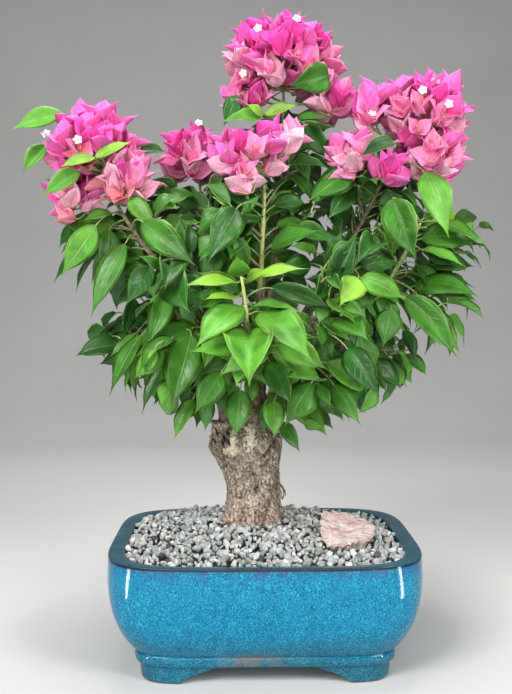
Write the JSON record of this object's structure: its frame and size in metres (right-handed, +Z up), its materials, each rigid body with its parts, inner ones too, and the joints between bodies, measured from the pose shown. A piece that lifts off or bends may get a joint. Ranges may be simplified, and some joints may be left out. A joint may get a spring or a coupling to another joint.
{
  "type": "bougainvillea bonsai in a pot",
  "caption": "Flowering bonsai tree with a short stout trunk, a drooping leafy crown and heads of pink papery bracts, in a rounded rectangular glazed pot on bracket feet.",
  "frame": {"origin": "under the middle of the whole plant, at the height that the pot's feet stand on", "axes": "+Z up; X along the length of the pot; -Y towards the front, the side that the picture shows"},
  "size_m": [0.422, 0.3558, 0.6083],
  "materials": {
    "glaze": "gloss",
    "gravel": "matte",
    "stone": "matte",
    "bark": "matte",
    "leaf": "satin",
    "blossom": "matte"
  },
  "bodies": {
    "root": {"blossom_back_left": "blossom", "blossom_left": "blossom", "blossom_mid": "blossom", "blossom_right": "blossom", "blossom_top": "blossom", "bough_back": "bark", "bough_back_left": "bark", "bough_back_left_low": "bark", "bough_back_low": "bark", "bough_back_right": "bark", "bough_back_right_low": "bark", "bough_front": "bark", "bough_front_left": "bark", "bough_front_right": "bark", "bough_front_upper_left": "bark", "bough_front_upper_right": "bark", "bough_left": "bark", "bough_left_low": "bark", "bough_mid": "bark", "bough_right": "bark", "bough_right_low": "bark", "bough_right_upper": "bark", "bough_top": "bark", "gravel": "gravel", "leaves_back": "leaf", "leaves_back_left": "leaf", "leaves_back_left_low": "leaf", "leaves_back_low": "leaf", "leaves_back_right": "leaf", "leaves_back_right_low": "leaf", "leaves_front": "leaf", "leaves_front_left": "leaf", "leaves_front_right": "leaf", "leaves_front_upper_left": "leaf", "leaves_front_upper_right": "leaf", "leaves_left": "leaf", "leaves_left_low": "leaf", "leaves_mid": "leaf", "leaves_right": "leaf", "leaves_right_low": "leaf", "leaves_right_upper": "leaf", "leaves_top": "leaf", "pot": "glaze", "stone": "stone", "trunk": "bark"}
  },
  "joints": []
}
